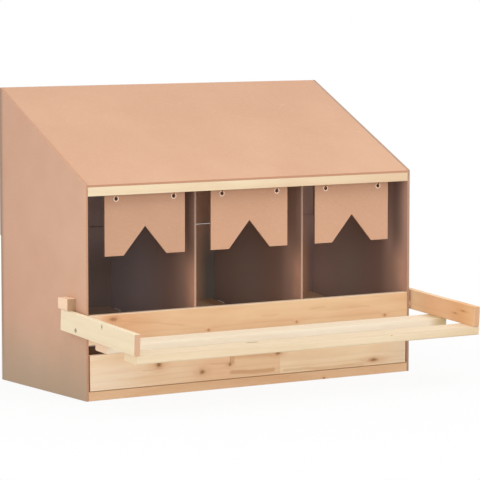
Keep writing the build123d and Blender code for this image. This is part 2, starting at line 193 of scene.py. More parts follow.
def pineMaterial(name, look):
    material, graph, shader = newMaterial(name)
    coords = graph.add("ShaderNodeTexCoord")
    inputs = {
        "Vector": coords.outputs["Object"], "Location": look["centre"], "Rotation": (look["turn"], 0, 0),
    }
    local = graph.add("ShaderNodeMapping", inputs, vector_type="TEXTURE").outputs[0]
    parts = graph.split(local)
    order = look["axes"]  # along the fibres, across the face, into the board
    along, across, deep = [parts[axisNumber[letter]] for letter in order]
    seed = look["seed"]

    # staves glued end to end: each gets a step of the pattern and a tone of its own
    pale = look["pale"][0]
    shiftedAlong = along
    for shade, start, end in look["firstStave"]:  # the first stave changes along its length
        pale = graph.blend(graph.ease(along, start, end), pale, shade)
    for joint, stavePale in zip(look["joints"], look["pale"][1:]):
        step = graph.calc("GREATER_THAN", along, joint)
        pale = graph.blend(step, pale, stavePale)
        shiftedAlong = graph.calc("MULTIPLY_ADD", step, look["staveShift"], shiftedAlong)

    board = graph.join(shiftedAlong, across, deep)
    sway = graph.noise(board, pineGrain["sway"], (seed, seed * 0.37, 0), output=1)
    swayParts = [graph.minus(part, 0.5) for part in graph.split(sway)[:2]]
    swayAcross = graph.calc("MULTIPLY_ADD", swayParts[0], look["sway"], across)
    swayDeep = graph.calc("MULTIPLY_ADD", swayParts[1], look["sway"], deep)
    ragged = graph.noise(board, pineGrain["ragged"], (0, 0, seed))

    # year rings about the pith, which lies off the board
    pithAcross, pithDeep = look["pith"]
    ringAcross = graph.minus(swayAcross, pithAcross)
    ringDeep = graph.minus(swayDeep, pithDeep)
    radius = graph.times(ringDeep, ringDeep)
    radius = graph.calc("SQRT", graph.calc("MULTIPLY_ADD", ringAcross, ringAcross, radius))
    if look["knots"]:
        heart, rim, flame, swell = knotMasks(graph, look, along, across, ragged)
        radius = graph.minus(radius, swell)
    phase = graph.calc("FRACT", graph.calc("DIVIDE", radius, look["ringGap"]))
    ramp = graph.add("ShaderNodeValToRGB", {0: phase})
    ramp.color_ramp.interpolation = "EASE"
    ramp.color_ramp.elements[0].color = (0, 0, 0, 1)
    ramp.color_ramp.elements[1].color = (0, 0, 0, 1)
    ramp.color_ramp.elements.new(pineGrain["lateWood"]).color = (1, 1, 1, 1)
    ramp.color_ramp.elements.new(pineGrain["earlyWood"]).color = (0.06, 0.06, 0.06, 1)
    rings = ramp.outputs[0]

    patch = graph.noise(board, pineGrain["patch"], (seed * 1.7, 0, seed), detail=3.0, rough=0.6)
    fibre = graph.noise(board, pineGrain["fibre"], (seed, seed, 0), detail=3.0, rough=0.65)
    ringShare = graph.times(graph.ease(patch, *pineMix["ringPatch"]), look["ringStrength"])

    mood = graph.ease(patch, *pineMix["warmPatch"])
    if look["warmSide"]:  # a board that turns warmer toward one end
        warmer = graph.ease(along, *look["warmSide"], 0.0, pineMix["warmShare"])
        mood = graph.calc("MAXIMUM", graph.times(mood, pineMix["patchShare"]), warmer)
    colour = graph.blend(mood, pale, look["warm"])
    # painted light and shade: faces that look up are given their own tone
    if look["upper"]:  # faces that look up have a tone of their own
        upward = graph.ease(graph.split(coords.outputs["Normal"])[2], *pineMix["upward"])
        colour = graph.blend(upward, colour, look["upper"])
    # painted highlight and shade on rounded edges: darker along the rails to damp their highlights, paler
    # along the nest front's top edge
    if look["wearAndEdgeShading"]:  # so have the rounded edges of those faces
        sides = graph.split(coords.outputs["Normal"])
        corner = graph.times(graph.calc("ABSOLUTE", sides[1]), sides[2])
        colour = graph.blend(graph.ease(corner, *pineMix["roundedEdge"]), colour, look["wearAndEdgeShading"])
    for shade, start, end in look["fades"]:  # tones that take over along the fibres
        colour = graph.blend(graph.ease(along, start, end), colour, shade)
    colour = graph.blend(graph.times(rings, ringShare), colour, look["line"])
    colour = graph.blend(graph.ease(fibre, *pineMix["fibreLines"]), colour, look["line"])
    marks = [(row, across) for row in look["streaks"]] + [(row, deep) for row in look["topStreaks"]]
    if marks:
        wave = graph.noise(board, pineGrain["wave"], (seed, seed, 0), detail=1.0)
    for (start, end, height, half, share, slope), spot in marks:  # single darker marks along the fibres
        wander = graph.times(graph.minus(wave, 0.5), pineGrain["streakWander"])
        middle = graph.calc("MULTIPLY_ADD", graph.minus(along, start), slope, height)
        off = graph.calc("ABSOLUTE", graph.plus(graph.minus(spot, middle), wander))
        begun = graph.ease(along, start, start + pineGrain["streakTaper"])
        inside = graph.times(begun, graph.ease(along, end, end - pineGrain["streakTaper"]))
        outer, inner = [half * edge for edge in pineMix["streakEdge"]]
        mark = graph.times(graph.ease(off, outer, inner, 0.0, share), inside)
        colour = graph.blend(mark, colour, look["streak"])
    if look["knots"]:
        for mask, share, shade in ((flame, "flameShare", "flame"), (rim, "rimShare", "knotRim"),
                                   (heart, "heartShare", "knotHeart")):
            colour = graph.blend(graph.times(mask, knotShape[share]), colour, look[shade])
    for joint, low, high, share, width in look["glueLines"]:  # joints that show
        off = graph.calc("ABSOLUTE", graph.minus(along, joint))
        risen = graph.ease(across, low - pineGrain["glueFade"], low)
        span = graph.times(risen, graph.ease(across, high + pineGrain["glueFade"], high))
        mark = graph.times(graph.ease(off, width, width / 3, 0.0, share), span)
        colour = graph.blend(mark, colour, look["knotRim"])

    # end grain shows where the face turns toward the fibres
    facing = graph.calc("ABSOLUTE", graph.split(coords.outputs["Normal"])[axisNumber[order[0]]])
    onEnd = graph.ease(facing, *pineMix["endFace"])
    pores = graph.noise(board, pineGrain["pores"])
    endColour = graph.blend(graph.times(rings, pineMix["endRings"]), look["end"], look["line"])
    endColour = graph.blend(graph.ease(pores, *pineMix["endPores"]), endColour, look["knotRim"])
    colour = graph.blend(onEnd, colour, endColour)

    graph.plug(colour, shader.inputs["Base Color"])
    graph.plug(graph.ease(fibre, *pineMix["rough"]), shader.inputs["Roughness"])
    height = graph.calc("MULTIPLY_ADD", rings, pineMix["ringRelief"], fibre)
    addBump(graph, shader, height, *pineMix["bump"])
    return material


# Hardboard: smooth outside, screen-marked inside, a cut edge between

boardGrain = {  # noise scales on the three axes
    "cloud": (5, 5, 5), "fleck": (420, 420, 420), "fibre": (140, 140, 900), "footShadeNoise": (14, 14, 5),
    "footShadeReach": 0.06,
}
boardMix = {  # as for pine
    "outside": (0.4, 0.6), "inside": (-0.4, -0.6), "cloud": (0.3, 0.7), "fleck": (0.56, 0.72, 0.0, 0.26),
    "fibre": (0.56, 0.76, 0.0, 0.24), "roughFleck": (0.5, 0.75, 0.0, 0.25),
    "edgeFleck": (0.45, 0.7, 0.0, 0.4), "gloss": (0.2, 0.8), "glossSpread": 0.14, "footShare": 0.85,
    "screenRelief": 0.3, "bump": (0.22, 0.2 * mm),
}


def boardMaterial(name, look):
    material, graph, shader = newMaterial(name, specular=0.2)
    coords = graph.add("ShaderNodeTexCoord")
    place = coords.outputs["Object"]
    seed = look["seed"]
    facing = graph.dot(coords.outputs["Normal"], look["outward"])
    outside = graph.ease(facing, *boardMix["outside"])
    inside = graph.ease(facing, *boardMix["inside"])

    def faded(colour, fades):
        # tones that take over along an axis; a list stands for a tone with fades of its own
        for shade, letter, start, end in fades:
            if isinstance(shade, list):
                shade = faded(shade[0], shade[1:])
            spot = graph.split(place)[axisNumber[letter]]
            colour = graph.blend(graph.ease(spot, start * mm, end * mm), colour, shade)
        return colour

    cloud = graph.noise(place, boardGrain["cloud"], (seed, 0, 0), detail=3.0, rough=0.55)
    fleck = graph.noise(place, boardGrain["fleck"], (0, seed, 0), detail=3.0, rough=0.7)
    fibre = graph.noise(place, boardGrain["fibre"], (0, 0, seed), rough=0.6)
    clouded = graph.ease(cloud, *boardMix["cloud"])

    smooth = graph.blend(clouded, look["tan"], look["tanDeep"])
    smooth = faded(smooth, look["smoothFades"])
    if look["foot"]:  # painted shade: the lowest part turns darker and greyer toward the floor
        footShadeNoise = graph.noise(place, boardGrain["footShadeNoise"], (0, 0, seed), detail=3.0, rough=0.6)
        uneven = graph.minus(footShadeNoise, 0.5)
        height = graph.calc("MULTIPLY_ADD", uneven, boardGrain["footShadeReach"], graph.split(place)[2])
        footShaded = graph.ease(height, look["footTop"], 0.0, 0.0, boardMix["footShare"])
        smooth = graph.blend(footShaded, smooth, look["foot"])
    smooth = graph.blend(graph.ease(fleck, *boardMix["fleck"]), smooth, look["fleck"])
    smooth = graph.blend(graph.ease(fibre, *boardMix["fibre"]), smooth, look["fleckPale"])
    rough = graph.blend(clouded, look["rough"], look["roughDeep"])
    rough = graph.blend(graph.ease(fleck, *boardMix["roughFleck"]), rough, look["roughDeep"])
    rough = faded(rough, look["fades"])
    edge = graph.blend(graph.ease(fleck, *boardMix["edgeFleck"]), look["edge"], look["fleck"])
    edge = faded(edge, look["edgeFades"])
    colour = graph.blend(outside, edge, smooth)
    colour = graph.blend(inside, colour, rough)
    graph.plug(colour, shader.inputs["Base Color"])
    gloss = graph.ease(cloud, *boardMix["gloss"], look["sheen"], look["sheen"] + boardMix["glossSpread"])
    graph.plug(gloss, shader.inputs["Roughness"])

    # the press screen leaves a fine square mesh on the rough face
    screenPlace = graph.split(graph.stretch(place, (look["screen"],) * 3))
    waves = [graph.calc("SINE", spot) for spot in screenPlace[:3]]
    mesh = graph.plus(graph.plus(waves[0], waves[1]), waves[2])
    height = graph.times(mesh, inside)
    height = graph.calc("MULTIPLY_ADD", height, boardMix["screenRelief"], fleck)
    addBump(graph, shader, height, *boardMix["bump"])
    return material


# Metal and plastic of the fittings

metalMix = {  # noise scales, then masks, shares and the bump as for pine
    "stain": (160, 160, 160), "scratch": (900, 120, 900), "dull": (0.35, 0.7), "wall": (0.5, 0.2),
    "gloss": (0.3, 0.7), "glossSpread": 0.18, "bump": (0.2, 0.05 * mm),
}
plasticMix = {
    "moulded": (1500, 1500, 1500), "haze": (90, 90, 90), "rough": (0.3, 0.7, 0.42, 0.6),
    "bump": (0.3, 0.05 * mm),
}


def metalMaterial(name, look):
    material, graph, shader = newMaterial(name, specular=0.5)
    coords = graph.add("ShaderNodeTexCoord")
    place = coords.outputs["Object"]
    stain = graph.noise(place, metalMix["stain"], detail=3.0, rough=0.6)
    scratch = graph.noise(place, metalMix["scratch"], rough=0.6)
    colour = graph.blend(graph.ease(stain, *metalMix["dull"]), look["bright"], look["dull"])
    if "wall" in look:  # painted shade: the bore is darker and browner than the lips that face front and rear
        facing = graph.calc("ABSOLUTE", graph.split(coords.outputs["Normal"])[1])
        colour = graph.blend(graph.ease(facing, *metalMix["wall"]), colour, look["wall"])
    graph.plug(colour, shader.inputs["Base Color"])
    gloss = graph.ease(stain, *metalMix["gloss"], look["gloss"], look["gloss"] + metalMix["glossSpread"])
    graph.plug(gloss, shader.inputs["Roughness"])
    shader.inputs["Metallic"].default_value = look["metallic"]
    addBump(graph, shader, scratch, *metalMix["bump"])
    return material


def plasticMaterial(name, look):
    material, graph, shader = newMaterial(name, specular=0.4)
    place = graph.add("ShaderNodeTexCoord").outputs["Object"]
    grain = graph.noise(place, plasticMix["moulded"])
    haze = graph.noise(place, plasticMix["haze"])
    graph.plug(graph.blend(haze, look["body"], look["wearAndEdgeShading"]), shader.inputs["Base Color"])
    graph.plug(graph.ease(haze, *plasticMix["rough"]), shader.inputs["Roughness"])
    addBump(graph, shader, grain, *plasticMix["bump"])
    return material


# Finishes of the boards, one dictionary each. Knots, streaks, joints, glue lines and the fades of the
# hardboard are in millimetres of the part's frame. warmSide, firstStave and the fades of the pine are in
# metres from the board's centre.

perchTurn = math.radians(3.8)  # the perch hangs a little low
pineBase = {
    "seed": 1.0, "axes": "XZY", "turned": False, "pith": (0.012, 0.055), "ringGap": 0.0046,
    "ringStrength": 0.3, "sway": 0.02, "knots": [], "flameShrink": (0.10, 0.22), "streaks": [],
    "topStreaks": [], "joints": [], "glueLines": [], "staveShift": 0.83, "firstStave": [],
    "warmSide": None, "fades": [], "upper": None, "wearAndEdgeShading": None, "warm": tone(232, 196, 150),
    "line": tone(205, 150, 98), "streak": tone(196, 144, 100),
    "end": tone(222, 178, 140), "knotHeart": tone(100, 70, 44), "knotRim": tone(176, 126, 84),
    "flame": tone(218, 166, 126),
}
blockLook = {
    "axes": "YZX", "pale": [tone(246, 215, 187)], "warm": tone(242, 209, 178), "ringStrength": 0.2,
    "end": tone(170, 144, 117),
}
# painted shade: the floor ledgers are dark so the slot above the drawer front looks dark
ledgerLook = {"pale": [tone(143, 110, 83)], "warm": tone(136, 103, 77), "line": tone(122, 88, 62)}
pineLooks = {
    "top_front_rail": {
        "seed": 2.3, "pale": [tone(222, 203, 171)], "warm": tone(213, 184, 152),
        "line": tone(200, 164, 124), "pith": (0.02, 0.09), "ringStrength": 0.2, "warmSide": (0.10, 0.33),
    },
    "nest_front_board": {
        "seed": 5.1, "pale": [tone(224, 189, 148)], "warm": tone(213, 162, 120),
        "line": tone(190, 138, 94), "ringStrength": 0.24, "warmSide": (-0.12, -0.30),
        # painted light at the left end, where the arm's shade falls; painted highlight on the top face
        # and the rounded top edge
        "fades": [(tone(232, 203, 168), -0.300, -0.332)],
        "upper": tone(224, 199, 169), "wearAndEdgeShading": tone(224, 199, 169),
        "knots": [(-294.8, 142.2, 9.0, 4.6), (-97.2, 109.4, 3.0, 2.4), (94.2, 111.1, 2.6, 2.4),
                  (293.2, 110.4, 3.0, 2.6)],
        "knotHeart": tone(160, 114, 78), "knotRim": tone(192, 142, 100),
        "streaks": [(-287, -145, 139.4, 1.6, 0.3, -17.3), (120, 162, 133, 1.8, 0.3),
                    (205, 262, 130.5, 1.6, 0.3), (14, 60, 129, 2.4, 0.22)],
    },
    "drawer_front_board": {
        "seed": 7.7, "pale": [tone(240, 219, 191), tone(233, 198, 161), tone(241, 218, 184)],
        "joints": [-50.5, 57.7], "glueLines": [(-50.5, 46, 80, 0.7, 1.4), (-46, 46, 80, 0.4, 6)],
        "firstStave": [(tone(237, 207, 174), -0.27, -0.20), (tone(232, 193, 156), -0.16, -0.09)],
        "flame": tone(213, 169, 130), "flameShrink": (0.06, 0.12), "ringStrength": 0.24,
        "fades": [(tone(230, 205, 173), 0.26, 0.33)],
        "warm": tone(231, 197, 158), "line": tone(208, 160, 116), "knotHeart": tone(138, 102, 70),
        "knots": [(-201.6, 54.5, 5.6, 4.8), (-110.5, 33.9, 4.8, 3.4), (52.8, 56.9, 5.2, 3.6),
                  (268.1, 27.5, 8.2, 2.9), (-51.5, 43.5, 3.0, 2.6)],
        "streaks": [(-55, 50, 27.5, 4.5, 0.62), (-52, 60, 62, 12, 0.5), (-98, -46, 47, 1.6, 0.3),
                    (60, 250, 21.5, 3.0, 0.3), (-240, -190, 47, 1.4, 0.3)],
    },
    "bottom_board": {
        "seed": 3.4, "pale": [tone(221, 184, 146)], "warm": tone(214, 171, 132), "pith": (-0.03, 0.05),
        "ringStrength": 0.24, "knots": [(154.9, 1.8, 2.6, 1.4)], "wearAndEdgeShading": tone(150, 108, 76),
    },
    "perch_front_rail": {
        "seed": 4.2, "pale": [tone(223, 204, 174)], "warm": tone(215, 190, 154),
        "line": tone(198, 162, 120), "turned": True, "ringStrength": 0.16, "streak": tone(172, 144, 112),
        "end": tone(236, 214, 180),
        # painted shade: the right end turns darker under the right arm; painted light and shade on the
        # top face and rounded edges
        "upper": tone(231, 212, 182), "wearAndEdgeShading": tone(208, 188, 159), "warmSide": (0.22, 0.362),
        "topStreaks": [(-127, -94, -324, 3.4, 0.85), (-262, -196, -318, 3, 0.2),
                       (-58, -8, -317, 3, 0.18)],
        "knots": [(169.8, 103.2, 1.8, 1.0)],
        "knotHeart": tone(170, 140, 104), "knotRim": tone(206, 174, 134), "flame": tone(226, 202, 164),
    },
    "perch_rear_rail": {
        "seed": 8.8, "pale": [tone(236, 223, 202)], "warm": tone(230, 212, 184),
        "line": tone(212, 180, 140), "turned": True, "end": tone(234, 203, 174), "ringStrength": 0.16,
        # painted shadow of the right arm on the right end; the pale front face is painted light against
        # the front rail's shade, with painted light and shade on the top and rounded edges
        "warmSide": (0.318, 0.352),
        "fades": [(tone(196, 174, 132), 0.318, 0.352)], "upper": tone(241, 225, 200),
        "wearAndEdgeShading": tone(221, 208, 184),
    },
    "perch_arm_left": {
        "seed": 6.1, "axes": "YZX", "pale": [tone(235, 219, 188)], "warm": tone(231, 212, 178),
        "line": tone(210, 178, 138), "turned": True, "end": tone(201, 158, 130), "ringStrength": 0.14,
        "knots": [(-244.1, 142.9, 1.4, 3.4)], "knotHeart": tone(92, 70, 50),
        "knotRim": tone(176, 150, 116), "flame": tone(224, 206, 170),
    },
    "perch_arm_right": {
        "seed": 9.3, "axes": "YZX", "pale": [tone(236, 191, 150)], "warm": tone(230, 176, 131),
        "line": tone(198, 138, 90), "turned": True, "ringStrength": 0.24, "end": tone(204, 164, 128),
        "upper": tone(236, 212, 176), "flame": tone(214, 158, 110), "knotRim": tone(202, 146, 98),
        "fades": [(tone(236, 203, 163), 0.0, 0.06), (tone(228, 177, 129), -0.02, -0.09),
                  (tone(230, 187, 142), -0.085, -0.125)],
        "knots": [(-319.7, 130.4, 6.0, 1.4), (-295.4, 124.3, 5.0, 1.2)], "knotHeart": tone(188, 134, 88),
    },
    "perch_stop_block_left": {"seed": 2.9, **blockLook},
    "perch_stop_block_right": {"seed": 4.9, **blockLook},
    "rear_top_batten": {"seed": 1.3, "pale": [tone(206, 174, 136)]},
    "floor_front_ledger": {"seed": 1.9, **ledgerLook},
    "floor_rear_ledger": {"seed": 2.7, **ledgerLook},
    # painted shade: the drawer's sides and back are dark so the slot above the drawer front looks dark
    "drawer_side_left": {"seed": 3.1, "axes": "YZX", "pale": [tone(200, 168, 130)]},
    "drawer_side_right": {"seed": 3.9, "axes": "YZX", "pale": [tone(200, 168, 130)]},
    "drawer_back": {"seed": 4.6, "pale": [tone(176, 142, 108)], "warm": tone(168, 132, 98)},
}
boardBase = {
    "seed": 1.0, "outward": (0, -1, 0), "tan": tone(210, 165, 137), "tanDeep": tone(204, 158, 130),
    "fleck": tone(160, 114, 88), "fleckPale": tone(224, 188, 160), "rough": tone(196, 150, 124),
    "roughDeep": tone(176, 132, 108), "edge": tone(190, 144, 116), "foot": None, "footTop": 0.15,
    "sheen": 0.55, "screen": 3900, "smoothFades": [], "fades": [], "edgeFades": [],
}
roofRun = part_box("roof_panel")[1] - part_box("roof_panel")[0]
roofSlope = math.atan2(roofRun.z, roofRun.y)
roofUp = (0, -math.sin(roofSlope), math.cos(roofSlope))
# painted shade for the side panels, darker and greyer toward the floor
paintedGroundShade = tone(171, 149, 125)
sideTan = {  # paler toward the front
    "tan": tone(211, 170, 143), "tanDeep": tone(204, 161, 134),
    "smoothFades": [(tone(192, 147, 124), "Y", -200, 480), (tone(150, 122, 102), "Y", 144, 160)],
}
flapTan = {"tan": tone(200, 157, 128), "tanDeep": tone(194, 150, 122)}
# painted light and shade deep in the nests: a paler, greyer tone toward the rear
paintedRearShading = tone(187, 171, 164)
wallFades = [  # painted shade: nest walls darker high up under the flaps and roof, and darker deeper in
    (tone(144, 112, 97), "Z", 200, 265), (tone(172, 138, 121), "Y", -138, -100),
]
# painted shade on the right wall's inner face high up, under the flaps and roof
underRoof = [
    tone(186, 148, 132), (tone(146, 118, 106), "Y", -156, -130), (tone(190, 157, 144), "Y", -122, -98),
]
# painted light and shade on the right wall's inner face, from the front edge to the rear
rightFades = [
    (tone(172, 138, 121), "Y", -148, -104), (underRoof, "Z", 200, 265),
    (tone(153, 125, 115), "Y", -104, -68), (tone(181, 166, 159), "Y", -72, 60),
    (tone(200, 184, 178), "Y", 20, 140),
]
rearHigh = [  # painted light and shade: each nest's rear wall is palest in the middle, darker in the corners, and paler higher up
    tone(214, 192, 186), (tone(252, 206, 178), "X", -110, 40), (tone(222, 182, 160), "X", 70, 98),
    (tone(252, 220, 206), "X", 120, 300), (tone(250, 224, 216), "X", 326, 345),
]
backWall = {
    "outward": (0, 1, 0), "rough": tone(131, 113, 105), "roughDeep": tone(124, 106, 98),
    "edge": tone(160, 132, 112),
    # painted light and shade across each nest's rear wall
    "fades": [
        (tone(191, 152, 121), "X", -110, 40), (tone(124, 116, 108), "X", 70, 98),
        (tone(216, 166, 134), "X", 120, 300), (tone(158, 132, 124), "X", 320, 341),
        (rearHigh, "Z", 190, 320),
    ],
}
divider = {
    "outward": (1, 0, 0), "edge": tone(178, 148, 128), "rough": tone(216, 164, 138),
    # painted shade: the dividers' front edges are darker higher up, under the flaps
    "edgeFades": [(tone(150, 124, 110), "Z", 190, 330)],
}
nestFloor = {
    "outward": (0, 0, -1), "rough": tone(208, 170, 132), "roughDeep": tone(196, 158, 122),
    "edge": tone(246, 240, 232),
}
paleDividerStrip = tone(252, 248, 242)  # near-white strips on the floors right beside the dividers
boardLooks = {
    "roof_panel": {
        "seed": 1.1, "outward": roofUp, "tan": tone(203, 161, 132), "tanDeep": tone(198, 155, 127),
        "smoothFades": [(tone(190, 148, 121), "Y", -200, 520)], "edge": tone(180, 130, 102),
    },
    # painted shade near the floor outside; painted light and shade on the inner face
    "left_side_panel": {
        "seed": 2.2, "outward": (-1, 0, 0), "foot": paintedGroundShade, **sideTan,
        "fades": [*wallFades, (paintedRearShading, "Y", -72, 70)],
    },
    # its front edge is darker: painted shade where it meets the right arm
    "right_side_panel": {
        "seed": 3.3, "outward": (1, 0, 0), "foot": paintedGroundShade, **sideTan, "edge": tone(168, 138, 118),
        "rough": tone(209, 163, 142), "fades": rightFades,
    },
    "rear_upper_panel": {"seed": 4.4, **backWall},
    "rear_lower_panel": {"seed": 5.5, **backWall},
    # painted light and shade on the dividers' faces inside the nests, from the front to the rear
    "divider_left": {
        "seed": 6.6, **divider,
        "fades": [*wallFades, (tone(165, 135, 123), "Y", -104, -70), (tone(189, 177, 179), "Y", -72, 70)],
    },
    "divider_right": {
        "seed": 7.7, **divider, "rough": tone(241, 191, 167),
        "fades": [*wallFades, (tone(155, 126, 114), "Y", -104, -70), (tone(174, 158, 151), "Y", -72, 70)],
    },
    # painted shade: the left nest's floor is darker and greyer than the others
    "nest_floor_left": {
        "seed": 8.8, **nestFloor, "rough": tone(199, 171, 150), "roughDeep": tone(188, 160, 140),
    },
    # painted light: the middle floor is paler toward its left side
    "nest_floor_middle": {
        "seed": 9.9, **nestFloor,
        "fades": [(tone(242, 213, 182), "X", 92, 62), (paleDividerStrip, "X", -112, -114)],
    },
    # painted light: the right nest's floor is paler than the others
    "nest_floor_right": {
        "seed": 10.2, **nestFloor, "rough": tone(246, 214, 182), "roughDeep": tone(236, 204, 172),
        "fades": [(paleDividerStrip, "X", 117, 115)],
    },
    "flap_left": {"seed": 11.3, "tan": tone(195, 153, 126), "tanDeep": tone(189, 147, 120)},
    "flap_middle": {"seed": 12.4, **flapTan},
    "flap_right": {"seed": 13.5, **flapTan},
    # painted shade: the drawer base is dark so the slot above the drawer front looks dark
    "drawer_base": {
        "seed": 14.6, "outward": (0, 0, 1), "tan": tone(168, 128, 104), "tanDeep": tone(158, 118, 96),
    },
}


def boardCentre(look):
    # the board's centre along the fibres, across the face and into the board
    return [look["centre"][axisNumber[letter]] for letter in look["axes"]]


def fromFrame(look, along, across):
    # a place on the board in frame millimetres to metres from the board's own centre
    centreAlong, centreAcross = boardCentre(look)[:2]
    spot = Vector((along * mm - centreAlong, across * mm - centreAcross))
    if look["axes"][0] == "Y":
        spot = Matrix.Rotation(-look["turn"], 2) @ spot
    return spot.x, spot.y


def placeMarks(look):
    centreAlong, centreAcross, centreDeep = boardCentre(look)
    look["knots"] = [(*fromFrame(look, along, across), wide * mm, high * mm)
                     for along, across, wide, high in look["knots"]]
    for key, middle in (("streaks", centreAcross), ("topStreaks", centreDeep)):
        look[key] = [
            (start * mm - centreAlong, end * mm - centreAlong, height * mm - middle, half * mm, share,
             sum(rise) / (end - start))
            for start, end, height, half, share, *rise in look[key]
        ]
    look["joints"] = [joint * mm - centreAlong for joint in look["joints"]]
    look["glueLines"] = [
        (joint * mm - centreAlong, low * mm - centreAcross, high * mm - centreAcross, share, width * mm)
        for joint, low, high, share, width in look["glueLines"]
    ]


materials = {}
for name, ownLook in pineLooks.items():
    look = {**pineBase, **ownLook, "centre": centreOf(name)}
    look["turn"] = perchTurn if look["turned"] else 0.0
    placeMarks(look)
    materials[name] = pineMaterial("pine_" + name, look)
for name, ownLook in boardLooks.items():
    materials[name] = boardMaterial("hardboard_" + name, {**boardBase, **ownLook})
hookSteel = metalMaterial("hook_steel", {
    "bright": tone(196, 136, 96), "dull": tone(150, 100, 70), "gloss": 0.4, "metallic": 0.6})
screwZinc = metalMaterial("screw_zinc", {
    "bright": tone(216, 202, 178), "dull": tone(184, 170, 146), "gloss": 0.42, "metallic": 0.7})
bradSteel = metalMaterial("brad_steel", {
    "bright": tone(142, 128, 112), "dull": tone(108, 94, 80), "gloss": 0.45, "metallic": 0.7})
# the wall tone is painted shade in the eyelet's bore
eyeletMetal = metalMaterial("eyelet_metal", {
    "bright": tone(252, 228, 206), "dull": tone(240, 212, 188), "gloss": 0.4, "metallic": 0.1,
    "wall": tone(176, 120, 84)})
spacerPlastic = plasticMaterial("spacer_plastic", {
    "body": tone(206, 160, 122), "wearAndEdgeShading": tone(192, 148, 112)})
print("board finishes:", len(materials))


# Every board gets eased edges: a merged copy of its solid with small bevels stands for it

easing = {
    "pine": 0.55 * mm, "rail": 0.2 * mm, "sheet": 0.45 * mm, "rear": 0.06 * mm, "segments": 2,
    "leastEdge": 9 * mm, "sharpFrom": math.radians(35), "flatWithin": math.radians(0.5),
    "shadeFrom": math.radians(30), "faceWeight": 90, "merge": 1e-6,
}


def plainCopy(piece):
    # the evaluated shape becomes the piece's own mesh, and its modifiers go
    bpy.context.view_layer.update()
    mesh = bpy.data.meshes.new_from_object(piece.evaluated_get(bpy.context.evaluated_depsgraph_get()))
    old = piece.data
    piece.modifiers.clear()
    piece.data = mesh
    bpy.data.meshes.remove(old)
    mesh.name = piece.name


def easeEdges(nodeName, width):
    cut = bmesh.new()
    cut.from_mesh(nodes[nodeName].data)
    bmesh.ops.remove_doubles(cut, verts=cut.verts, dist=easing["merge"])
    bmesh.ops.dissolve_limit(cut, angle_limit=easing["flatWithin"], verts=cut.verts, edges=cut.edges)
    sharp = []
    for edge in cut.edges:
        if edge.is_manifold and edge.calc_length() > easing["leastEdge"]:
            if edge.calc_face_angle(0) > easing["sharpFrom"]:
                sharp.append(edge)
    bmesh.ops.bevel(cut, geom=sharp, offset=width, segments=easing["segments"], profile=0.5,
                    affect="EDGES", clamp_overlap=False)
    mesh = bpy.data.meshes.new(nodeName + "_eased")
    cut.to_mesh(mesh)
    cut.free()
    mesh.shade_smooth()
    mesh.set_sharp_from_angle(angle=easing["shadeFrom"])
    piece = bpy.data.objects.new(nodeName + "_eased", mesh)
    scene.collection.objects.link(piece)
    even = piece.modifiers.new("even", "WEIGHTED_NORMAL")  # keeps the broad faces flat
    even.keep_sharp = True
    even.weight = easing["faceWeight"]
    plainCopy(piece)
    return piece


for name in [*pineLooks, *boardLooks]:
    kind = "pine" if name in pineLooks else "sheet"
    if name in ("rear_upper_panel", "rear_lower_panel"):
        kind = "rear"  # the seam stays as narrow as it is cut
    if name in ("perch_front_rail", "perch_rear_rail"):
        kind = "rail"
    piece = easeEdges(name, easing[kind])
    dress(piece, materials[name])
    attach(piece, bodyOf[name])
    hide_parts(name)
print("boards eased:", len(pineLooks) + len(boardLooks))


# Fittings that repeat grow on points in Geometry Nodes trees, with their sizes in millimetres

roundness = {  # how many steps or sides each round shape has
    "hookPath": 64, "wire": 14, "eyelet": 40, "bead": 16, "screwHead": 40, "domeRows": 5, "shank": 24,
    "brad": 16, "fibre": 5,
}


def fittingTree(name, sizes):
    tree = bpy.data.node_groups.new(name, "GeometryNodeTree")
    tree.interface.new_socket("Points", in_out="INPUT", socket_type="NodeSocketGeometry")
    for label, value in sizes.items():
        kind = "NodeSocketVector" if isinstance(value, tuple) else "NodeSocketFloat"
        tree.interface.new_socket(label, in_out="INPUT", socket_type=kind).default_value = value
    tree.interface.new_socket("Geometry", in_out="OUTPUT", socket_type="NodeSocketGeometry")
    graph = Graph(tree)
    return graph, graph.add("NodeGroupInput").outputs


def circle(graph, radius, steps):
    inputs = {"Resolution": steps, "Radius": radius}
    return graph.add("GeometryNodeCurvePrimitiveCircle", inputs).outputs[0]


def cone(graph, bottom, top, depth, sides, rows=1):
    inputs = {"Vertices": sides, "Side Segments": rows, "Radius Top": top, "Radius Bottom": bottom,
              "Depth": depth}
    return graph.add("GeometryNodeMeshCone", inputs).outputs[0]


def lifted(graph, shape, z):
    return graph.add("GeometryNodeTransform", {0: shape, "Translation": graph.join(z=z)}).outputs[0]


def closeTree(graph, given, shape, material, scale=(mm, mm, mm)):
    # one shape on every point, turned to face, made real and given its finish
    points = graph.add("GeometryNodeMeshToPoints", {"Mesh": given["Points"]}).outputs[0]
    facing = {"Vector": given["Facing"]}
    turn = graph.add("FunctionNodeAlignRotationToVector", facing, axis="Z").outputs[0]
    inputs = {"Points": points, "Instance": shape, "Rotation": turn, "Scale": scale}
    placed = graph.add("GeometryNodeInstanceOnPoints", inputs).outputs[0]
    real = graph.add("GeometryNodeRealizeInstances", {0: placed}).outputs[0]
    finished = graph.add("GeometryNodeSetMaterial", {0: real, "Material": material}).outputs[0]
    graph.plug(finished, graph.add("NodeGroupOutput").inputs[0])
    return graph.tree


